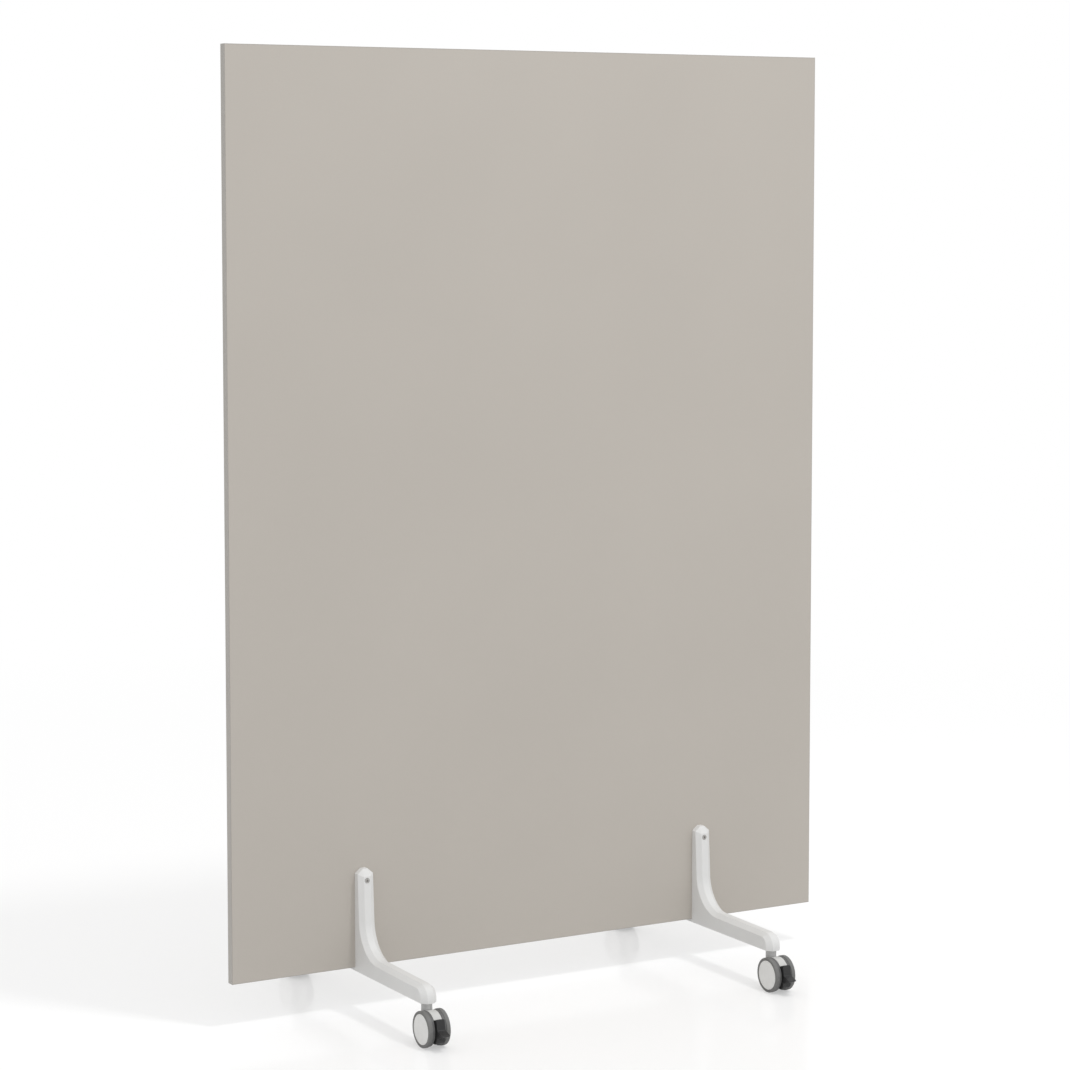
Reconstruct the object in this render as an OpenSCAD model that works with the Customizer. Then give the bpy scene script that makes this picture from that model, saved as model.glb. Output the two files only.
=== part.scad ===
// Rolling partition: a laminated panel held between two pairs of cast legs that
// stand on braked twin-wheel casters. Millimetres, Z up, the front towards -Y,
// and the origin on the floor under the middle of the panel.

/* [Panel] */
// Width of the panel
panel_w = 1200; // [900:10:1500]
// Height of the panel
panel_h = 1600; // [1200:10:1900]
// Thickness of the panel
panel_t = 16; // [16:1:25]
// Thickness of each laminate skin
laminate_t = 0.8; // [0.5:0.1:1.2]
// Thickness of the edge bands
band_t = 1; // [0.5:0.1:2]

/* [Legs] */
// Distance between the left and right legs, centre to centre
leg_spacing = 700; // [500:10:850]
// Width of a leg
leg_w = 30; // [28:1:36]
// Width of the flat strip that runs down the front of a leg
strip_w = 13; // [12:1:18]
// How far that strip stands out past the leg's side faces
strip_rise = 7; // [4:0.5:10]
// Reach of a leg from the panel's face
leg_reach = 255; // [230:5:320]
// Height of the upright above the panel's bottom edge
upright_h = 176; // [165:1:240]
// Thickness of the upright's side face at its top
upright_top_t = 10.8; // [10:0.2:15]
// Thickness of the upright's side face at the bend
upright_root_t = 15.5; // [15:0.5:22]
// Radius of the bend, along the side face's edge
bend_r = 68; // [50:1:80]
// Height of the arm's side face at the bend
arm_root_h = 25; // [22:1:30]
// Height of the arm's side face at the nose
arm_end_h = 23; // [20:1:26]
// Height of the nose's plumb lip
lip_h = 5; // [3:0.5:8]
// How far the side faces run on past the start of the nose
nose_side_l = 15.5; // [12:0.5:18]
// Height of the tip's cut corners
tip_corner_h = 9; // [8:1:16]
// Height of the bevel on the front of the tip
tip_bevel_h = 13; // [12:1:22]
// Width of the flat top of the tip
tip_w = 9; // [6:1:14]
// Thickness of the tip at its top
tip_t = 10.5; // [7:0.5:12]
// Thickness of the ledge under the panel
ledge_t = 6; // [4:0.5:10]
// Thickness of the walls round the arm's underside pockets
pocket_wall = 4; // [3:0.5:6]
// Thickness of the arm above its pockets
pocket_roof = 7; // [5:0.5:9]
// Number of pockets under an arm
pocket_count = 3; // [1:1:5]
// Distance of the first pocket from the panel's face
pocket_start = 24; // [16:1:40]

/* [Fasteners] */
// Height of the clamp screw above the panel's bottom edge
clamp_z = 156; // [135:1:158]
// Radius of the clamp screw's thread
clamp_r = 2.5; // [2:0.1:3]
// Length of the clamp screw under its head
clamp_l = 26; // [22:1:30]
// Radius of the heads of the clamp screw and the sleeve nut
clamp_head_r = 4.5; // [4.2:0.1:5]
// Height of the clamp screw's head
clamp_head_h = 5; // [4:0.5:6]
// Thickness of the leg under the clamp screw's head
clamp_seat_t = 13.5; // [9:0.5:13.5]
// Radius of the sleeve nut's barrel
sleeve_r = 3.5; // [3.3:0.1:3.8]
// Height of the sleeve nut's head
sleeve_head_h = 3; // [2:0.5:5]
// How far the sleeve nut reaches into the opposite leg
sleeve_past = 8; // [5:0.5:8.5]
// Width across flats of the hex sockets
hex_key = 4; // [3:0.5:5]
// Depth of the hex sockets
hex_depth = 2.5; // [1.5:0.5:2.5]
// Radius of the ledge screw's shank
ledge_screw_r = 2; // [1.5:0.1:2.2]
// Radius of the ledge screw's countersunk head
ledge_head_r = 3.6; // [3:0.1:3.8]
// Height of that head's cone
ledge_head_h = 1.8; // [1.2:0.1:2.2]
// Length of the ledge screw
ledge_screw_l = 32; // [24:1:45]
// How far a blind hole runs on past its screw
hole_past = 1; // [0.5:0.5:2]

/* [Casters] */
// Diameter of the wheels over the tread
wheel_d = 62; // [58:1:75]
// Width of one wheel
wheel_w = 12; // [12:0.5:16]
// Gap between the two wheels
wheel_gap = 17; // [13.4:0.1:18]
// Distance from the wheels' top to the underside of the leg
neck_rise = 10; // [8:0.5:16]
// Radius of the neck collar
neck_r = 9.5; // [9:0.5:12]
// Radius of the rounding at the collar's top
neck_round = 2.5; // [1:0.5:2.5]
// Wall of the neck collar round the housing's boss
collar_t = 1.9; // [1.5:0.1:2.2]
// How far the collar reaches down below the wheels' top
neck_drop = 7; // [4:0.5:9]
// Distance of the swivel axis from the end of the leg
swivel_inset = 16; // [14:0.5:22]
// Distance of the wheel axle from the swivel axis
trail = 17.4; // [16.5:0.1:19]
// Thickness of the tread
tread_t = 3.5; // [2:0.1:3.7]
// Thickness of the wheel's rim
rim_t = 1.7; // [1.2:0.1:2.2]
// Width of the rim's inner flange
flange_w = 4.3; // [3:0.1:5]
// How far that flange stays below the tread
flange_step = 0.9; // [0.5:0.1:1.5]
// Rounding of the tread's outer edge
tread_round = 1.2; // [0.8:0.1:2]
// Radius of the wheel's hub
hub_r = 7; // [6:0.5:8]
// Thickness of the wheel's web
wheel_web_t = 2.5; // [1.8:0.1:3]
// Width of the dark ring outside the wheel cap
tread_side = 4.7; // [4.6:0.1:7]
// How far the rim stays inside the tread's outer face
rim_set = 0.8; // [0.5:0.1:1.2]
// Thickness of the wheel cap
cap_t = 2.4; // [1.8:0.1:2.8]
// How far the middle of the cap is domed
cap_dome = 0.3; // [0:0.1:1]
// Chamfer round the cap's face
cap_edge = 0.5; // [0.2:0.1:1]
// Radius of the wheel axle
axle_r = 3; // [2.5:0.1:3.5]
// Depth of the snap grooves in the axle and the stem
groove_depth = 0.4; // [0.3:0.05:0.6]
// Width of those grooves
groove_w = 1; // [0.8:0.1:1.4]
// Play of a snap rib in its groove, on each side
rib_play = 0.2; // [0.1:0.05:0.3]
// Distance of the snap groove from the axle's end
axle_snap_inset = 1.5; // [1.2:0.1:2]
// Distance of the snap groove from the stem's end
stem_snap_inset = 4; // [3:0.5:6]
// Chamfer of the axle's ends and the rim's flange
small_edge = 0.4; // [0.2:0.1:0.5]
// Radius of the stem's thread, in the leg
thread_r = 5; // [4:0.5:5.5]
// Depth of the stem's thread in the leg
thread_l = 16; // [12:1:18]
// Width across flats of the stem's hex flange
stem_hex = 11; // [10.5:0.1:11.5]
// Height of that flange
stem_flange_h = 3.5; // [2.5:0.5:4]
// Radius of the stem's spigot, in the housing
spigot_r = 4; // [3.5:0.1:4.2]
// Length of the stem's spigot
spigot_l = 34; // [30:1:35]

/* [Housing and brake] */
// How far the hood stays below the tread
hood_inset = 1; // [0.5:0.5:3]
// Thickness of the hood
hood_t = 3; // [2:0.5:4]
// Thickness of the web inside the hood
web_t = 4; // [3:0.5:5]
// Radius of the boss that holds the axle
boss_r = 8; // [7:0.5:8.5]
// Angle at which the hood ends at the front, from level
hood_front_a = 41; // [38:1:44]
// How much earlier than the hood its web ends
web_set_a = 7; // [6:1:12]
// Angle at which the hood ends at the back
hood_back_a = 215; // [190:1:230]
// Distance of the brake pin in front of the wheel axle
pin_out = 14.5; // [14:0.5:16]
// Height of the brake pin above the wheel axle
pin_up = 5; // [4:0.5:6]
// Radius of the brake pin
pin_r = 1.5; // [1.2:0.1:1.8]
// Thickness of the tongue that holds the pin
tongue_t = 3.6; // [3:0.1:4]
// Radius of the tongue round the pin
tongue_r = 4.5; // [4:0.1:4.6]
// How far the lever's face stands in front of the tread
lever_proud = 4; // [3:0.5:8]
// How far the lever's face leans back towards its top
lever_lean = 3; // [2:0.5:6]
// How far the lever's top stands above the hood's front end
lever_rise = 2.5; // [1:0.5:4]
// Gap between the hood's front end and the lever
seam_gap = 0.8; // [0.5:0.1:1.5]
// Rounding of the lever's top edge
lever_round = 2; // [1:0.5:2.5]
// Rounding of the lever's top corners, seen from the front
lever_corner_r = 3; // [1:0.5:5]
// How far the lever's lip stands in front of the tread
lip_reach = 20.5; // [16:0.5:26]
// Thickness of the lip at its end
lip_t = 2.6; // [2:0.2:4]
// Height of the lip's root above the wheel axle
lip_root_h = 3.5; // [3:0.5:6]
// Depth of the lip's upper edge below the wheel axle
lip_drop = 0.9; // [0:0.1:2]
// Depth of the lip's underside below the wheel axle, at its root
lip_under = 9.5; // [8:0.5:11]
// Radius of the hollow between the lever's face and its lip
lip_hollow = 3; // [2:0.5:5]
// Radius of the lip's corners, seen from above
lip_corner_r = 1.5; // [1:0.5:5]
// Height of the lever's foot above the floor
foot_z = 10; // [10:0.5:14]
// How far the foot stays behind the lever's face
foot_set = 2; // [1:0.5:6]
// Rounding of the foot's lower edge
foot_round = 8; // [5:0.5:9]
// Width of the foot's flat underside
foot_t = 5; // [3:0.5:6]
// Radius of the brake shoes on the lever's sides
shoe_r = 2; // [1.5:0.1:2]
// Gap between a shoe and the wheel's rim with the brake off
shoe_gap = 1.7; // [1.6:0.1:3]
// Angle at which the shoes stand round the wheel axle, from level
shoe_a = 39; // [37:1:41]
// Reach of a brake shoe into its wheel
shoe_l = 4; // [2:0.5:5]

/* [Clearances] */
// Radial clearance of a shaft that turns in its bore
run_fit = 0.05; // [0.02:0.01:0.1]
// Clearance of a piece that is fixed in its seat
seat_fit = 0.05; // [0.02:0.01:0.1]
// Radial clearance of a screw that passes through a hole
pass_fit = 0.1; // [0.05:0.05:0.3]
// Gap between faces that turn past each other
side_gap = 0.3; // [0.2:0.05:0.4]
// Gap between the hood or the lever and the wheels beside it
wheel_clear = 0.8; // [0.6:0.1:1]

/* [Hidden] */
$fn = 64;
bend_steps = 14;
nose_steps = 7;
round_steps = 6;
// How far a cut runs on past the face that it opens, and a join into what it joins
past = 1;

// Each corner's name, its side along X and its side along Y
CORNERS = [
    ["front_left", -1, -1], ["front_right", 1, -1],
    ["rear_left", -1, 1], ["rear_right", 1, 1]
];
// Each wheel of a caster, and the way that it faces from the partition's middle
WHEELS = [["outer", 1], ["inner", -1]];
PANEL_NODES = [
    "panel_core", "front_laminate", "back_laminate", "edge_band_left", "edge_band_right",
    "edge_band_top", "edge_band_bottom"
];
FASTENER_NODES = ["clamp_screws", "sleeve_nuts", "ledge_screws", "caster_stems"];
CORNER_NODES = ["leg", "housing", "neck_collar", "axle", "brake_lever", "brake_pin"];
WHEEL_NODES = ["wheel", "tread", "cap"];

// Heights above the floor, and distances out from the panel's middle plane
wheel_r = wheel_d / 2;
leg_z = wheel_d + neck_rise;
panel_z = leg_z + ledge_t;
face_out = panel_t / 2;
swivel_out = face_out + leg_reach - swivel_inset;
clamp_height = panel_z + clamp_z;
core_t = panel_t - 2 * laminate_t;
leg_x = leg_spacing / 2;

// Leg outline, from the panel's face outwards and up from the leg's underside
tip_h = ledge_t + upright_h;
shoulder_h = tip_h - tip_corner_h;
bevel_h = tip_h - tip_bevel_h;
bend_out = upright_root_t + bend_r;
bend_h = arm_root_h + bend_r;
nose_r = arm_end_h + strip_rise - lip_h;
nose_out = leg_reach - nose_r;
socket_out = leg_reach - swivel_inset;
pocket_h = arm_end_h - pocket_roof;
pocket_w = leg_w - 2 * pocket_wall;
pocket_end = socket_out - thread_r - 2 * pocket_wall;
pocket_pitch = (pocket_end - pocket_start + pocket_wall) / pocket_count;
pocket_l = pocket_pitch - pocket_wall;

// Caster sizes
stem_flange_r = stem_hex / 2 / cos(30);
stem_hole_r = stem_flange_r + side_gap;
neck_low_z = wheel_d - neck_drop;
neck_top_z = leg_z - 2 * side_gap;
neck_boss_r = neck_r - collar_t;
flange_base_z = leg_z - stem_flange_h;
boss_top_z = flange_base_z - side_gap;
spigot_end_z = flange_base_z - spigot_l;
snap_z = spigot_end_z + stem_snap_inset;
hood_r = wheel_r - hood_inset;
hood_half = wheel_gap / 2 - wheel_clear;
stem_boss_r = min(hood_half, neck_boss_r);
rim_r = wheel_r - tread_t;
rim_in_r = rim_r - rim_t;
cap_r = wheel_r - tread_side - side_gap;
cap_seat = wheel_w - cap_t;
axle_half = wheel_gap / 2 + cap_seat - 2 * side_gap;
axle_snap = axle_half - axle_snap_inset;
rib_half = groove_w / 2 - rib_play;

// Brake lever, from the wheel axle
pin_at = [pin_out, pin_up];
lever_face = wheel_r + lever_proud;
lever_top = [lever_face - lever_lean, hood_r * sin(hood_front_a) + lever_rise];
lip_end = wheel_r + lip_reach;
foot = [lever_face - foot_set, foot_z - wheel_r];
shoe_at = polar(rim_in_r - shoe_r - shoe_gap, shoe_a);

function arc(centre, rx, ry, from, to, steps) =
    [for (i = [0:steps]) let (a = from + (to - from) * i / steps) centre + [rx * cos(a), ry * sin(a)]];
function upright_t(h) =
    upright_root_t + (upright_top_t - upright_root_t) * (h - bend_h) / (shoulder_h - bend_h);
function polar(r, a) = [r * cos(a), r * sin(a)];

// Stands a part that is drawn outwards along +X at one corner of the partition
module at_corner(corner) {
    translate([corner[1] * leg_x, 0, 0])
        rotate([0, 0, corner[2] * 90])
        children();
}

module at_caster(corner) {
    at_corner(corner)
        translate([swivel_out, 0, 0])
        children();
}

// A side profile, drawn out and up from the wheel axle, as thick as the gap allows
module across_axle(thickness) {
    translate([trail, thickness / 2, wheel_r])
        rotate([90, 0, 0])
        linear_extrude(thickness)
        children();
}

// A shape turned about the wheel axle, drawn from the caster's middle to one side
module round_axle(side) {
    translate([trail, 0, wheel_r])
        rotate([-90 * side, 0, 0])
        children();
}

// The panel
module clamp_holes(radius) {
    for (side = [-1, 1])
        translate([side * leg_x, -panel_t, clamp_height])
        rotate([-90, 0, 0])
        cylinder(r = radius, h = 2 * panel_t);
}

module ledge_holes(radius, depth) {
    for (corner = CORNERS)
        at_corner(corner)
        translate([face_out / 2, 0, leg_z])
        cylinder(r = radius, h = depth);
}

module panel_slab(thickness) {
    translate([band_t - panel_w / 2, -thickness / 2, panel_z + band_t])
        cube([panel_w - 2 * band_t, thickness, panel_h - 2 * band_t]);
}

module panel_core() {
    color("burlywood")
        difference() {
            panel_slab(core_t);
            clamp_holes(sleeve_r + pass_fit);
            ledge_holes(ledge_screw_r + seat_fit, ledge_screw_l + hole_past);
        }
}

module laminate(side) {
    color([0.74, 0.71, 0.68])
        difference() {
            translate([0, side * (core_t + laminate_t) / 2, 0])
                panel_slab(laminate_t);
            clamp_holes(sleeve_r + pass_fit);
        }
}

module edge_band_side(side) {
    color([0.70, 0.67, 0.64])
        translate([side * (panel_w - band_t) / 2 - band_t / 2, -face_out, panel_z])
        cube([band_t, panel_t, panel_h]);
}

module edge_band_level(height) {
    color([0.70, 0.67, 0.64])
        difference() {
            translate([band_t - panel_w / 2, -face_out, height])
                cube([panel_w - 2 * band_t, panel_t, band_t]);
            ledge_holes(ledge_screw_r + pass_fit, ledge_t + 2 * band_t);
        }
}

// The legs
module leg_skin() {
    side_edge = concat(
        [[upright_t(shoulder_h), shoulder_h]],
        arc([bend_out, bend_h], bend_r, bend_r, 180, 270, bend_steps),
        arc([nose_out, lip_h], nose_side_l, arm_end_h - lip_h, 90, 0, nose_steps),
        [[nose_out + nose_side_l, 0]]
    );
    strip_r = bend_r - strip_rise;
    strip_edge = concat(
        [[upright_t(bevel_h) + strip_rise, bevel_h]],
        arc([bend_out, bend_h], strip_r, strip_r, 180, 270, bend_steps),
        arc([nose_out, lip_h], nose_r, nose_r, 90, 0, nose_steps),
        [[leg_reach, 0]]
    );
    n = len(side_edge);
    ends = [-leg_w / 2, leg_w / 2];
    top_ends = [-tip_w / 2, tip_w / 2];
    points = concat(
        [for (i = [0:n - 1], k = [0:3])
            let (edge = k == 0 || k == 3 ? side_edge[i] : strip_edge[i])
            let (width = k == 0 || k == 3 ? leg_w : strip_w)
            [edge[0], (k < 2 ? -1 : 1) * width / 2, edge[1]]],
        [for (y = ends) [0, y, shoulder_h]],
        [for (y = top_ends) [0, y, tip_h]],
        [for (y = top_ends) [tip_t, y, tip_h]],
        [for (y = ends) [0, y, ledge_t]],
        [for (y = ends) [-face_out, y, ledge_t]],
        [for (y = ends) [-face_out, y, 0]]
    );
    shoulder = 4 * n;
    top_back = shoulder + 2;
    top_front = shoulder + 4;
    corner = shoulder + 6;
    ledge_top = shoulder + 8;
    ledge_end = shoulder + 10;
    last = 4 * (n - 1);
    left_ring = concat([shoulder], [for (i = [0:n - 1]) 4 * i], [ledge_end, ledge_top]);
    right_ring = concat([shoulder + 1], [for (i = [0:n - 1]) 4 * i + 3], [ledge_end + 1, ledge_top + 1]);
    faces = concat(
        [for (i = [0:n + 1]) [corner, left_ring[i], left_ring[i + 1]]],
        [for (i = [0:n + 1]) [corner + 1, right_ring[i + 1], right_ring[i]]],
        [for (i = [0:n - 2], k = [0:2]) [4 * i + k, 4 * i + k + 1, 4 * i + k + 5, 4 * i + k + 4]],
        [
            [0, shoulder, top_back, top_front],
            [0, top_front, 1],
            [top_front, top_front + 1, 2, 1],
            [2, top_front + 1, 3],
            [3, top_front + 1, top_back + 1, shoulder + 1],
            [top_back, top_back + 1, top_front + 1, top_front],
            [shoulder, corner, corner + 1, shoulder + 1, top_back + 1, top_back],
            [corner, ledge_top, ledge_top + 1, corner + 1],
            [ledge_top + 1, ledge_top, ledge_end, ledge_end + 1],
            [ledge_end + 1, ledge_end, last, last + 1, last + 2, last + 3]
        ]
    );
    polyhedron(points, faces);
}

module leg_pockets() {
    for (i = [0:pocket_count - 1])
        translate([pocket_start + i * pocket_pitch, -pocket_w / 2, -past])
        cube([pocket_l, pocket_w, pocket_h + past]);
}

module leg() {
    color("whitesmoke")
        translate([face_out, 0, leg_z])
        difference() {
            leg_skin();
            leg_pockets();
            translate([-past, 0, ledge_t + clamp_z])
                rotate([0, 90, 0])
                cylinder(r = sleeve_r + pass_fit, h = clamp_seat_t + 2 * past);
            translate([clamp_seat_t, 0, ledge_t + clamp_z])
                rotate([0, 90, 0])
                cylinder(r = clamp_head_r + side_gap, h = upright_root_t + strip_rise);
            translate([socket_out, 0, -past])
                cylinder(r = thread_r + seat_fit, h = past + thread_l + hole_past);
            translate([-face_out / 2, 0, -past])
                cylinder(r = ledge_screw_r + pass_fit, h = ledge_t + 2 * past);
            translate([-face_out / 2, 0, 0])
                cylinder(r1 = ledge_head_r + pass_fit, r2 = ledge_screw_r + pass_fit, h = ledge_head_h);
        }
}

// The fasteners
module hex_socket(across, depth) {
    cylinder(r = across / 2 / cos(30), h = depth, $fn = 6);
}

// A flat ring, for a groove or a rib
module ring(inner_r, outer_r, height) {
    difference() {
        cylinder(r = outer_r, h = height);
        translate([0, 0, -past])
            cylinder(r = inner_r, h = height + 2 * past);
    }
}

module clamp_screws() {
    color([0.58, 0.57, 0.55])
        for (side = [-1, 1])
        translate([side * leg_x, -(face_out + clamp_seat_t), clamp_height])
        rotate([90, 0, 0])
        difference() {
            union() {
                cylinder(r = clamp_head_r, h = clamp_head_h);
                translate([0, 0, -clamp_l])
                    cylinder(r = clamp_r, h = clamp_l + past);
            }
            translate([0, 0, clamp_head_h - hex_depth])
                hex_socket(hex_key, hex_depth + past);
        }
}

module sleeve_nuts() {
    sleeve_l = clamp_seat_t + panel_t + sleeve_past;
    thread_depth = clamp_l - (clamp_seat_t - sleeve_past) + hole_past;
    color([0.58, 0.57, 0.55])
        for (side = [-1, 1])
        translate([side * leg_x, face_out + clamp_seat_t, clamp_height])
        rotate([-90, 0, 0])
        difference() {
            union() {
                cylinder(r = clamp_head_r, h = sleeve_head_h);
                translate([0, 0, -sleeve_l])
                    cylinder(r = sleeve_r, h = sleeve_l + past);
            }
            translate([0, 0, -sleeve_l - past])
                cylinder(r = clamp_r + seat_fit, h = thread_depth + past);
            translate([0, 0, sleeve_head_h - hex_depth])
                hex_socket(hex_key, hex_depth + past);
        }
}

module ledge_screws() {
    color("silver")
        for (corner = CORNERS)
        at_corner(corner)
        translate([face_out / 2, 0, leg_z])
        union() {
            cylinder(r1 = ledge_head_r, r2 = ledge_screw_r, h = ledge_head_h);
            cylinder(r = ledge_screw_r, h = ledge_screw_l);
        }
}

module caster_stems() {
    color("lightgray")
        for (corner = CORNERS)
        at_caster(corner)
        difference() {
            union() {
                translate([0, 0, leg_z - past])
                    cylinder(r = thread_r, h = thread_l + past);
                translate([0, 0, flange_base_z])
                    cylinder(r = stem_flange_r, h = leg_z - flange_base_z, $fn = 6);
                translate([0, 0, spigot_end_z])
                    cylinder(r = spigot_r, h = spigot_l + past);
            }
            translate([0, 0, snap_z - groove_w / 2])
                ring(spigot_r - groove_depth, spigot_r + past, groove_w);
        }
}

// The caster
module hood_sector(radius, front_a) {
    far = 2 * radius;
    intersection() {
        circle(r = radius);
        polygon(concat(
            [[0, 0]],
            [for (i = [0:round_steps]) polar(far, front_a + (hood_back_a - front_a) * i / round_steps)]
        ));
    }
}

// The room that the wheels turn in, beside the hood
module wheel_room() {
    for (side = [-1, 1])
        round_axle(side)
        translate([0, 0, hood_half])
        cylinder(r = wheel_r + side_gap, h = wheel_w);
}

module housing() {
    stem_floor_z = spigot_end_z - 2 * side_gap;
    tongue_a = atan2(pin_up, pin_out);
    color([0.80, 0.80, 0.79])
        difference() {
            union() {
                across_axle(2 * hood_half)
                    difference() {
                        hood_sector(hood_r, hood_front_a);
                        circle(r = hood_r - hood_t);
                    }
                across_axle(web_t)
                    hood_sector(hood_r - hood_t / 2, hood_front_a + web_set_a);
                across_axle(2 * hood_half)
                    circle(r = boss_r);
                across_axle(2 * hood_half)
                    intersection() {
                        circle(r = hood_r);
                        translate([-trail, hood_r / 2])
                            square([trail, hood_r]);
                    }
                translate([0, 0, stem_floor_z - hood_t])
                    cylinder(r = stem_boss_r, h = neck_low_z - stem_floor_z + hood_t + past);
                difference() {
                    translate([0, 0, neck_low_z])
                        cylinder(r = neck_boss_r, h = boss_top_z - neck_low_z);
                    wheel_room();
                }
                across_axle(tongue_t)
                    union() {
                        translate(pin_at)
                            circle(r = tongue_r);
                        rotate(tongue_a)
                            translate([0, -tongue_r])
                            square([norm(pin_at), 2 * tongue_r]);
                    }
            }
            translate([0, 0, stem_floor_z])
                difference() {
                    cylinder(r = spigot_r + run_fit, h = leg_z);
                    translate([0, 0, snap_z - stem_floor_z - rib_half])
                        ring(spigot_r - groove_depth + run_fit, spigot_r + past, 2 * rib_half);
                }
            across_axle(wheel_gap)
                circle(r = axle_r + seat_fit);
            across_axle(wheel_gap)
                translate(pin_at)
                circle(r = pin_r + seat_fit);
        }
}

// The collar hides the hex flange and saddles the hood and the wheels
module neck_collar() {
    round_centre = [neck_r - neck_round, neck_top_z - neck_round];
    seat_r = neck_boss_r + seat_fit;
    seat_z = boss_top_z + side_gap;
    color([0.56, 0.56, 0.55])
        difference() {
            rotate_extrude()
                polygon(concat(
                    [[neck_r, neck_low_z]],
                    arc(round_centre, neck_round, neck_round, 0, 90, round_steps),
                    [[stem_hole_r, neck_top_z], [stem_hole_r, seat_z]],
                    [[seat_r, seat_z], [seat_r, neck_low_z]]
                ));
            across_axle(wheel_gap)
                circle(r = hood_r + seat_fit);
            wheel_room();
        }
}

module axle() {
    half_outline = [
        [axle_r, axle_snap - groove_w / 2], [axle_r - groove_depth, axle_snap - groove_w / 2],
        [axle_r - groove_depth, axle_snap + groove_w / 2], [axle_r, axle_snap + groove_w / 2],
        [axle_r, axle_half - small_edge], [axle_r - small_edge, axle_half], [0, axle_half]
    ];
    n = len(half_outline);
    color("silver")
        round_axle(1)
        rotate_extrude()
        polygon(concat(half_outline, [for (i = [n - 1:-1:0]) [half_outline[i][0], -half_outline[i][1]]]));
}

// The wheel's outlines give a radius and a distance from the caster's middle
module wheel(side) {
    inner = wheel_gap / 2;
    hub_start = hood_half + side_gap;
    web_start = inner + cap_seat - wheel_web_t;
    bore_r = axle_r + run_fit;
    rib_r = bore_r - groove_depth;
    bore_end = axle_half + side_gap;
    seat = inner + cap_seat;
    rim_end = inner + wheel_w - rim_set;
    flange_r = wheel_r - flange_step;
    pocket_r = cap_r + side_gap / 2;
    color([0.36, 0.36, 0.36])
        round_axle(side)
        rotate_extrude()
        polygon([
            [0, seat], [0, bore_end], [bore_r, bore_end],
            [bore_r, axle_snap + rib_half], [rib_r, axle_snap + rib_half],
            [rib_r, axle_snap - rib_half], [bore_r, axle_snap - rib_half],
            [bore_r, hub_start], [hub_r, hub_start], [hub_r, web_start],
            [rim_in_r, web_start], [rim_in_r, inner],
            [flange_r - small_edge, inner], [flange_r, inner + small_edge], [flange_r, inner + flange_w],
            [rim_r, inner + flange_w], [rim_r, rim_end], [pocket_r, rim_end], [pocket_r, seat]
        ]);
}

module tread(side) {
    inner = wheel_gap / 2 + flange_w + seat_fit;
    outer = wheel_gap / 2 + wheel_w;
    side_end = outer - rim_set + seat_fit;
    color([0.44, 0.44, 0.43])
        round_axle(side)
        rotate_extrude()
        polygon(concat(
            [
                [cap_r + side_gap, outer], [cap_r + side_gap, side_end],
                [rim_r + seat_fit, side_end], [rim_r + seat_fit, inner],
                [wheel_r - small_edge, inner], [wheel_r, inner + small_edge]
            ],
            arc([wheel_r - tread_round, outer - tread_round], tread_round, tread_round, 0, 90, round_steps)
        ));
}

module cap(side) {
    seat = wheel_gap / 2 + cap_seat + seat_fit;
    outer = wheel_gap / 2 + wheel_w;
    color([0.82, 0.82, 0.81])
        round_axle(side)
        rotate_extrude()
        polygon([
            [0, seat], [cap_r, seat], [cap_r, outer - cap_edge],
            [cap_r - cap_edge, outer], [0, outer + cap_dome]
        ]);
}

// The lever from the side: seat, back, seam with the hood, face, lip, foot
module brake_lever_outline() {
    seam_a = hood_front_a - atan2(seam_gap, hood_r);
    hollow = [lever_face + lip_hollow, lip_root_h + lip_hollow];
    tip = [lip_end - lip_t / 2, -lip_drop - lip_t / 2];
    difference() {
        union() {
            polygon(concat(
                [
                    [pin_out - shoe_r, pin_up + tongue_r], shoe_at + [-shoe_r, shoe_r],
                    polar(hood_r - hood_t, seam_a), polar(hood_r, seam_a)
                ],
                arc(lever_top - [lever_round, lever_round], lever_round, lever_round, 90, 10, round_steps),
                arc(hollow, lip_hollow, lip_hollow, 190, 260, round_steps),
                arc(tip, lip_t / 2, lip_t / 2, 80, -80, round_steps),
                [[foot[0], -lip_under]],
                arc(foot + [-foot_round, foot_round], foot_round, foot_round, 0, -90, round_steps),
                [
                    [foot[0] - foot_round - foot_t, foot[1]], [pin_out + tongue_r, pin_up - 2 * tongue_r],
                    [pin_out, pin_up - tongue_r]
                ]
            ));
            translate(pin_at)
                circle(r = tongue_r + small_edge);
        }
        translate(pin_at)
            circle(r = pin_r + run_fit);
    }
}

module brake_lever() {
    lever_w = 2 * hood_half;
    slot_w = tongue_t + 2 * side_gap;
    color([0.16, 0.16, 0.16])
        difference() {
            union() {
                intersection() {
                    across_axle(lever_w)
                        brake_lever_outline();
                    lever_plan(lever_w);
                    lever_front(lever_w);
                }
                for (side = [-1, 1])
                    round_axle(side)
                    translate([shoe_at[0], -side * shoe_at[1], 0])
                    cylinder(r = shoe_r, h = hood_half + shoe_l);
            }
            across_axle(slot_w)
                translate(pin_at)
                circle(r = tongue_r + 4 * side_gap);
        }
}

// The lever seen from above, with its lip's corners rounded off
module lever_plan(width) {
    corner_out = trail + lip_end - lip_corner_r;
    corner_side = width / 2 - lip_corner_r;
    translate([0, 0, -past])
        linear_extrude(wheel_d)
        polygon(concat(
            [[0, -width / 2]],
            arc([corner_out, -corner_side], lip_corner_r, lip_corner_r, -90, 0, round_steps),
            arc([corner_out, corner_side], lip_corner_r, lip_corner_r, 0, 90, round_steps),
            [[0, width / 2]]
        ));
}

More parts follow.
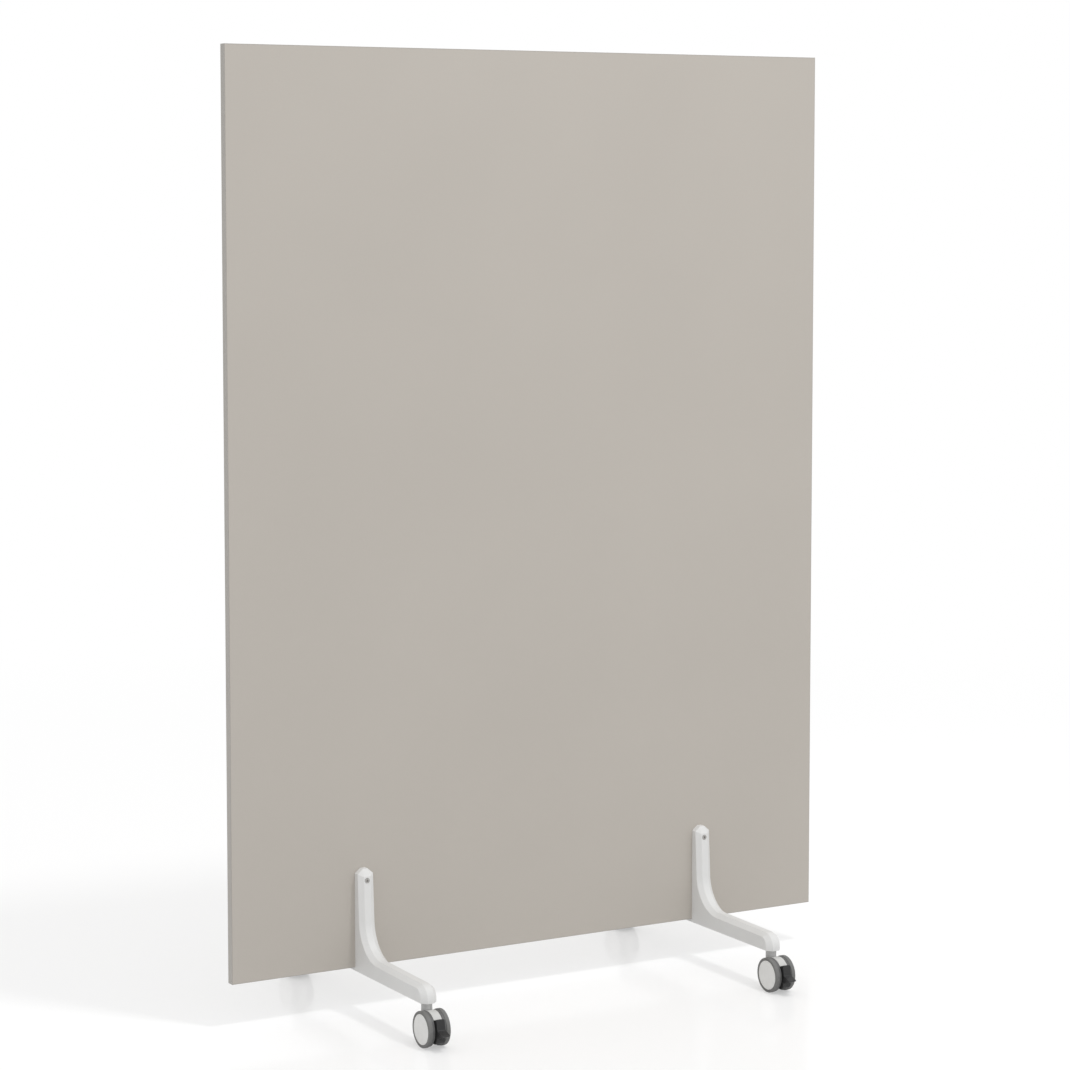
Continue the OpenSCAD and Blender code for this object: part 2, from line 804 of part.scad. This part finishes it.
// The lever seen from the front, with its top corners rounded off
module lever_front(width) {
    corner_side = width / 2 - lever_corner_r;
    corner_z = wheel_r + lever_top[1] - lever_corner_r;
    rotate([90, 0, 90])
        linear_extrude(trail + lip_end + past)
        polygon(concat(
            [[-width / 2, 0], [width / 2, 0]],
            arc([corner_side, corner_z], lever_corner_r, lever_corner_r, 0, 90, round_steps),
            arc([-corner_side, corner_z], lever_corner_r, lever_corner_r, 90, 180, round_steps)
        ));
}

module brake_pin() {
    color("silver")
        across_axle(2 * (hood_half - side_gap))
        translate(pin_at)
        circle(r = pin_r);
}

// Wheel sides as drawn at a corner: +Y there points right at the front and left at the rear
function wheel_side(corner, wheel) = -corner[1] * corner[2] * wheel[1];

panel_core();
laminate(-1);  // front_laminate
laminate(1);  // back_laminate
edge_band_side(-1);  // edge_band_left
edge_band_side(1);  // edge_band_right
edge_band_level(panel_z + panel_h - band_t);  // edge_band_top
edge_band_level(panel_z);  // edge_band_bottom
clamp_screws();
sleeve_nuts();
ledge_screws();
caster_stems();
for (corner = CORNERS) {
    at_corner(corner) leg();
    at_caster(corner) housing();
    at_caster(corner) neck_collar();
    at_caster(corner) axle();
    at_caster(corner) brake_lever();
    at_caster(corner) brake_pin();
    for (wheel = WHEELS) {
        side = wheel_side(corner, wheel);
        name = str(corner[0], "_", wheel[0]);
        at_caster(corner) wheel(side);
        at_caster(corner) tread(side);
        at_caster(corner) cap(side);
    }
}
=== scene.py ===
import math

import bpy
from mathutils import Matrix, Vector

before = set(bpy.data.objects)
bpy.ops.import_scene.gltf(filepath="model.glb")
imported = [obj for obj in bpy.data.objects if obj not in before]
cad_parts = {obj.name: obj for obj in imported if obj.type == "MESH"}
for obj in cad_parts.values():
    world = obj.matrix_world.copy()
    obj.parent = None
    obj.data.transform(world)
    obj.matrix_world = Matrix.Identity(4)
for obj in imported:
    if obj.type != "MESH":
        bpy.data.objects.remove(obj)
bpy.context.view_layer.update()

# The camera, fitted to the panel's corners in the photograph. Its shift is kept small, so that
# views from other sides keep the object in frame too.
CAMERA_AT = (-2.6812, -4.6692, 1.4519)
CAMERA_YAW = math.radians(29.887)
CAMERA_DOWN = math.radians(4.800)
CAMERA_LENS = 101.76
CAMERA_SHIFT_Y = -0.095

# The light: one lamp high above the front, which draws the shadows, in an even pale room
KEY_AT = Vector((0.94, -2.2, 5.0))
KEY_AIM = Vector((0.0, 0.0, 0.8))
KEY_SIZE = 0.75
KEY_POWER = 71.0
ROOM_LIGHT = 0.82

# The floor, which the camera sees as white but for shadow and a weak reflection. Part of that
# white is a lit surface that takes shadow, of the colour FLOOR_SHADE, and a glow adds what is
# missing: FLOOR_LIGHT is how bright a white surface would look there without shadow.
FLOOR_HALF = 60.0
FLOOR_SHADE = 0.58
FLOOR_LIGHT = 0.888
FLOOR_MIRROR = 0.125
FLOOR_MIRROR_ROUGHNESS = 0.15
# Shadow and reflection are whole up to the first distance from the middle and gone at the second
FLOOR_NEAR = 1.6
FLOOR_FAR = 4.0
# The grey that the floor has for the light it throws back on the object
FLOOR_COLOUR = 0.75

WHITE = (1.0, 1.0, 1.0, 1.0)

# A Mix node has the sockets of every kind of data under the same names; these are the colour's
MIX_FACTOR, MIX_FIRST, MIX_SECOND, MIX_RESULT = 0, 6, 7, 2


def srgb(red, green, blue):
    """A colour as the screen shows it, 0 to 255, as the linear values that a shader takes."""
    def linear(value):
        share = value / 255
        return share / 12.92 if share <= 0.04045 else ((share + 0.055) / 1.055) ** 2.4
    return (linear(red), linear(green), linear(blue), 1.0)


def shade(colour, factor):
    """The colour made lighter or darker by a factor."""
    return tuple(value * factor for value in colour[:3]) + (1.0,)


class Finish:
    """A material whose nodes are added one by one; an input is a number or another node's output."""

    def __init__(self, name):
        self.material = bpy.data.materials.new(name)
        self.material.use_nodes = True
        self.tree = self.material.node_tree
        self.shader = self.tree.nodes["Principled BSDF"]
        self.place = self.add("ShaderNodeTexCoord").outputs["Object"]

    def add(self, kind, inputs=None, **settings):
        made = self.tree.nodes.new(kind)
        for name, value in settings.items():
            setattr(made, name, value)
        for name, value in (inputs or {}).items():
            self.join(made.inputs[name], value)
        return made

    def join(self, socket, value):
        if isinstance(value, bpy.types.NodeSocket):
            self.tree.links.new(value, socket)
        else:
            socket.default_value = value

    def set(self, **inputs):
        """Sets the shader's own sockets; an underscore stands for a space."""
        for name, value in inputs.items():
            self.join(self.shader.inputs[name.replace("_", " ")], value)

    def stretched(self, factors):
        """The place times a factor along each axis: below 1 draws a texture out that way."""
        return self.add("ShaderNodeMapping", {"Vector": self.place, "Scale": factors}).outputs["Vector"]

    def noise(self, size, detail=2.0, place=None):
        """Smooth noise from 0 to 1 whose blotches measure about size metres."""
        return self.add(
            "ShaderNodeTexNoise",
            {"Vector": place or self.place, "Scale": 1 / size, "Detail": detail},
        ).outputs["Fac"]

    def ramp(self, value, low, high, start=0.3, end=0.7):
        """Takes value from start..end to low..high."""
        return self.add(
            "ShaderNodeMapRange",
            {"Value": value, "From Min": start, "From Max": end, "To Min": low, "To Max": high},
        ).outputs["Result"]

    def mix(self, factor, first, second):
        mixed = self.add("ShaderNodeMix", data_type="RGBA")
        self.join(mixed.inputs[MIX_FACTOR], factor)
        self.join(mixed.inputs[MIX_FIRST], first)
        self.join(mixed.inputs[MIX_SECOND], second)
        return mixed.outputs[MIX_RESULT]

    def mottled(self, noise, colour, dark, light):
        """The colour times a factor that the noise takes from dark to light."""
        return self.mix(self.ramp(noise, low=0.0, high=1.0), shade(colour, dark), shade(colour, light))

    def bump(self, height, depth, below=None):
        """Relief of so many metres, laid over the relief below it."""
        inputs = {"Height": height, "Distance": depth, "Strength": 1.0}
        if below is not None:
            inputs["Normal"] = below
        return self.add("ShaderNodeBump", inputs).outputs["Normal"]

    def worn(self, radius, amount):
        """Where an edge is sharper than radius: 0 on a flat face and up to amount on the edge."""
        rounded = self.add("ShaderNodeBevel", {"Radius": radius}, samples=4).outputs["Normal"]
        plain = self.add("ShaderNodeNewGeometry").outputs["Normal"]
        facing = self.add("ShaderNodeVectorMath", {0: rounded, 1: plain}, operation="DOT_PRODUCT")
        return self.ramp(facing.outputs["Value"], low=amount, high=0.0, start=0.86, end=0.99)


def laminate_finish(name, colour, roughness):
    """Matt laminate: faint clouding, a pearl grain of about a millimetre, and a fine relief."""
    made = Finish(name)
    grain = made.noise(size=0.0016)
    pores = made.noise(size=0.0009, detail=1.0)
    cloudy = made.mottled(made.noise(size=0.35, detail=3.0), colour, dark=0.985, light=1.015)
    pearls = made.ramp(grain, low=0.0, high=0.5, start=0.55, end=0.75)
    rubbing = made.noise(size=0.02, detail=3.0)
    made.set(
        Base_Color=made.mix(pearls, cloudy, shade(colour, 1.12)),
        Roughness=made.ramp(rubbing, low=roughness - 0.04, high=roughness + 0.04),
        Specular_IOR_Level=0.35,
        Normal=made.bump(pores, depth=0.00006, below=made.bump(grain, depth=0.00005)),
    )
    return made.material


def band_finish(name, colour):
    """Edge banding: drawn plastic with faint upright streaks, which run along the side bands."""
    made = Finish(name)
    streaks = made.noise(size=0.004, place=made.stretched((1.0, 1.0, 0.03)))
    made.set(
        Base_Color=made.mottled(streaks, colour, dark=0.97, light=1.03),
        Roughness=made.ramp(made.noise(size=0.01), low=0.42, high=0.52),
        Specular_IOR_Level=0.4,
        Normal=made.bump(streaks, depth=0.00004),
    )
    return made.material


def board_finish(name):
    """Raw particle board: pressed chips of a few millimetres, and dark flecks of bark."""
    chips_per_metre = 420.0
    made = Finish(name)
    flattened = made.stretched((1.0, 1.6, 1.6))
    chips = made.add("ShaderNodeTexVoronoi", {"Vector": flattened, "Scale": chips_per_metre})
    tone = made.add("ShaderNodeSeparateColor", {"Color": chips.outputs["Color"]}).outputs["Red"]
    wood = made.mix(tone, srgb(176, 143, 100), srgb(214, 187, 146))
    flecks = made.ramp(made.noise(size=0.005, detail=4.0), low=0.0, high=0.7, start=0.62, end=0.7)
    made.set(
        Base_Color=made.mix(flecks, wood, srgb(92, 68, 45)),
        Roughness=made.ramp(tone, low=0.75, high=0.9, start=0.0, end=1.0),
        Normal=made.bump(chips.outputs["Distance"], depth=0.0003),
    )
    return made.material


def powder_finish(name, colour):
    """Satin powder coat: a fine orange peel, and paint drawn thin on the edges."""
    made = Finish(name)
    peel = made.noise(size=0.0022, detail=3.0)
    clean = made.mottled(made.noise(size=0.05, detail=4.0), colour, dark=0.98, light=1.01)
    made.set(
        Base_Color=made.mix(made.worn(radius=0.0012, amount=0.35), clean, shade(colour, 0.86)),
        Roughness=made.ramp(peel, low=0.46, high=0.56),
        Specular_IOR_Level=0.4,
        Coat_Weight=0.05,
        Coat_Roughness=0.25,
        Normal=made.bump(peel, depth=0.00014),
    )
    return made.material


def moulded_finish(name, colour, roughness, grain=0.0008, relief=0.00005):
    """Moulded plastic: spark-eroded grain and soft flow marks."""
    made = Finish(name)
    flow = made.noise(size=0.02, detail=3.0)
    made.set(
        Base_Color=made.mottled(flow, colour, dark=0.96, light=1.04),
        Roughness=made.ramp(flow, low=roughness - 0.06, high=roughness + 0.06),
        Specular_IOR_Level=0.45,
        Normal=made.bump(made.noise(size=grain), depth=relief),
    )
    return made.material


def tread_finish(name, colour):
    """Soft polyurethane tread: matt, with patches of dust and a fine grain."""
    made = Finish(name)
    dust = made.ramp(made.noise(size=0.007, detail=5.0), low=0.0, high=0.35, start=0.5, end=0.75)
    made.set(
        Base_Color=made.mix(dust, colour, shade(colour, 1.35)),
        Roughness=made.ramp(made.noise(size=0.004, detail=3.0), low=0.5, high=0.68),
        Specular_IOR_Level=0.35,
        Normal=made.bump(made.noise(size=0.0007), depth=0.00004),
    )
    return made.material


def steel_finish(name, colour, roughness):
    """Plated steel, with fine marks and slightly uneven plating."""
    made = Finish(name)
    marks = made.noise(size=0.0006, detail=3.0)
    made.set(
        Base_Color=made.mottled(made.noise(size=0.003), colour, dark=0.85, light=1.1),
        Metallic=1.0,
        Roughness=made.ramp(marks, low=roughness - 0.06, high=roughness + 0.1),
        Normal=made.bump(marks, depth=0.00001),
    )
    return made.material


# The finish of each kind of piece, by the start of its name
FINISHES = {
    "panel_core": board_finish("core"),
    "front_laminate": laminate_finish("laminate", srgb(191, 185, 177), roughness=0.5),
    "edge_band": band_finish("edge_band", srgb(178, 174, 168)),
    "leg": powder_finish("leg_paint", srgb(229, 229, 228)),
    "clamp_screws": steel_finish("plated_steel", srgb(178, 176, 173), roughness=0.42),
    "caster_stems": steel_finish("zinc_steel", srgb(190, 192, 195), roughness=0.3),
    "housing": moulded_finish("housing_plastic", srgb(210, 210, 208), roughness=0.42),
    "neck_collar": moulded_finish("collar_plastic", srgb(197, 197, 196), roughness=0.45),
    "wheel": moulded_finish("wheel_plastic", srgb(102, 102, 102), roughness=0.48),
    "tread": tread_finish("tread", srgb(120, 120, 119)),
    "cap": moulded_finish("cap_plastic", srgb(236, 236, 234), roughness=0.4),
    "brake_lever": moulded_finish(
        "lever_plastic", srgb(38, 38, 39), roughness=0.45, grain=0.0011, relief=0.00008
    ),
}
FINISHES["back_laminate"] = FINISHES["front_laminate"]
FINISHES["sleeve_nuts"] = FINISHES["clamp_screws"]
for zinc_kind in ("ledge_screws", "axle", "brake_pin"):
    FINISHES[zinc_kind] = FINISHES["caster_stems"]

# How far each kind of piece has its edges broken, in metres. The others keep theirs: the board
# and its laminates are cut square, and the rest hardly shows.
EDGE_RADII = {
    "edge_band": 0.0004,
    "leg": 0.0012,
    "clamp_screws": 0.0003,
    "sleeve_nuts": 0.0003,
    "housing": 0.0004,
    "neck_collar": 0.0002,
    "wheel": 0.0002,
    "tread": 0.0002,
    "cap": 0.0002,
    "brake_lever": 0.0005,
}
# The least turn between two faces that counts as an edge
EDGE_ANGLE = math.radians(24)
EDGE_SEGMENTS = 3
WELD_GAP = 0.000005


def kind_of(node, kinds):
    """The kind that a node's name starts with."""
    return next((kind for kind in kinds if node.startswith(kind)), None)


def smooth_group():
    """Nodes that shade a mesh smooth but for edges that turn by more than EDGE_ANGLE."""
    group = bpy.data.node_groups.new("smooth_shading", "GeometryNodeTree")
    group.interface.new_socket("Geometry", in_out="INPUT", socket_type="NodeSocketGeometry")
    group.interface.new_socket("Geometry", in_out="OUTPUT", socket_type="NodeSocketGeometry")
    entry = group.nodes.new("NodeGroupInput")
    leave = group.nodes.new("NodeGroupOutput")
    faces = group.nodes.new("GeometryNodeSetShadeSmooth")
    edges = group.nodes.new("GeometryNodeSetShadeSmooth")
    edges.domain = "EDGE"
    angle = group.nodes.new("GeometryNodeInputMeshEdgeAngle")
    level = group.nodes.new("ShaderNodeMath")
    level.operation = "LESS_THAN"
    level.inputs[1].default_value = EDGE_ANGLE
    group.links.new(angle.outputs["Unsigned Angle"], level.inputs[0])
    group.links.new(entry.outputs[0], faces.inputs["Geometry"])
    group.links.new(faces.outputs["Geometry"], edges.inputs["Geometry"])
    group.links.new(level.outputs["Value"], edges.inputs["Shade Smooth"])
    group.links.new(edges.outputs["Geometry"], leave.inputs[0])
    return group


def soften(piece, radius, smoothing):
    """Joins the mesh's faces, breaks its edges and shades it smooth, all by modifiers."""
    weld = piece.modifiers.new("weld", "WELD")
    weld.merge_threshold = WELD_GAP
    bevel = piece.modifiers.new("edges", "BEVEL")
    bevel.width = radius
    bevel.segments = EDGE_SEGMENTS
    bevel.limit_method = "ANGLE"
    bevel.angle_limit = EDGE_ANGLE
    shading = piece.modifiers.new("shading", "NODES")
    shading.node_group = smoothing
    normals = piece.modifiers.new("normals", "WEIGHTED_NORMAL")
    normals.keep_sharp = True


def dress(nodes):
    """Gives each piece of the frame its finish, and softens the kinds that EDGE_RADII names."""
    smoothing = smooth_group()
    for name, piece in nodes.items():
        piece.data.materials.clear()
        piece.data.materials.append(FINISHES[kind_of(name, FINISHES)])
        radius = EDGE_RADII.get(kind_of(name, EDGE_RADII))
        if radius:
            soften(piece, radius, smoothing)


def seen_directly(nodes, links):
    """1 for what the camera sees, by itself or by way of a shiny or clear surface, and else 0."""
    rays = nodes.new("ShaderNodeLightPath").outputs
    seen = rays["Is Camera Ray"]
    for kind in ("Is Glossy Ray", "Is Transmission Ray"):
        either = nodes.new("ShaderNodeMath")
        either.operation = "MAXIMUM"
        links.new(seen, either.inputs[0])
        links.new(rays[kind], either.inputs[1])
        seen = either.outputs[0]
    return seen


def floor_finish():
    """White with shadow and a weak reflection where it is seen, and a pale grey for other light."""
    made = Finish("floor")
    nodes, links = made.tree.nodes, made.tree.links
    from_middle = made.add("ShaderNodeVectorMath", {0: made.place}, operation="LENGTH").outputs["Value"]
    glow_near = 1.0 - FLOOR_SHADE * FLOOR_LIGHT
    shaded = made.ramp(from_middle, low=FLOOR_SHADE, high=0.0, start=FLOOR_NEAR, end=FLOOR_FAR)
    lit = made.ramp(from_middle, low=glow_near, high=1.0, start=FLOOR_NEAR, end=FLOOR_FAR)
    gloss = made.ramp(from_middle, low=FLOOR_MIRROR, high=0.0, start=FLOOR_NEAR, end=FLOOR_FAR)
    matt = made.add("ShaderNodeBsdfDiffuse", {"Color": shaded})
    glow = made.add("ShaderNodeEmission", {"Color": lit})
    both = made.add("ShaderNodeAddShader", {0: matt.outputs[0], 1: glow.outputs[0]})
    mirror = made.add("ShaderNodeBsdfGlossy", {"Roughness": FLOOR_MIRROR_ROUGHNESS})
    white = made.add("ShaderNodeMixShader", {0: gloss, 1: both.outputs[0], 2: mirror.outputs[0]})
    pale = made.add("ShaderNodeBsdfDiffuse", {"Color": shade(WHITE, FLOOR_COLOUR)})
    seen = seen_directly(nodes, links)
    whole = made.add("ShaderNodeMixShader", {0: seen, 1: pale.outputs[0], 2: white.outputs[0]})
    links.new(whole.outputs[0], nodes["Material Output"].inputs["Surface"])
    return made.material


def make_floor():
    bpy.ops.mesh.primitive_plane_add(size=2 * FLOOR_HALF)
    floor = bpy.context.object
    floor.name = "floor"
    floor.data.materials.append(floor_finish())


def make_room():
    """An even pale room that a camera, mirror or glass sees as white."""
    world = bpy.data.worlds.new("room")
    bpy.context.scene.world = world
    world.use_nodes = True
    nodes, links = world.node_tree.nodes, world.node_tree.links
    strength = nodes.new("ShaderNodeMapRange")
    strength.inputs["To Min"].default_value = ROOM_LIGHT
    links.new(seen_directly(nodes, links), strength.inputs["Value"])
    background = nodes["Background"]
    background.inputs["Color"].default_value = WHITE
    links.new(strength.outputs["Result"], background.inputs["Strength"])


def add_object(name, data, location, rotation):
    """Puts a lamp or a camera in the scene."""
    added = bpy.data.objects.new(name, data)
    bpy.context.scene.collection.objects.link(added)
    added.location = location
    added.rotation_euler = rotation
    return added


def make_key():
    lamp = bpy.data.lights.new("key", "AREA")
    lamp.shape = "DISK"
    lamp.size = KEY_SIZE
    lamp.energy = KEY_POWER
    away = KEY_AT - KEY_AIM
    add_object("key", lamp, KEY_AT, away.to_track_quat("Z", "Y").to_euler())


def make_camera():
    camera = bpy.data.cameras.new("camera")
    camera.lens = CAMERA_LENS
    camera.shift_y = CAMERA_SHIFT_Y
    turn = (math.pi / 2 - CAMERA_DOWN, 0.0, -CAMERA_YAW)
    bpy.context.scene.camera = add_object("camera", camera, CAMERA_AT, turn)


dress(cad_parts)
make_floor()
make_room()
make_key()
make_camera()
bpy.context.scene.view_settings.view_transform = "Standard"
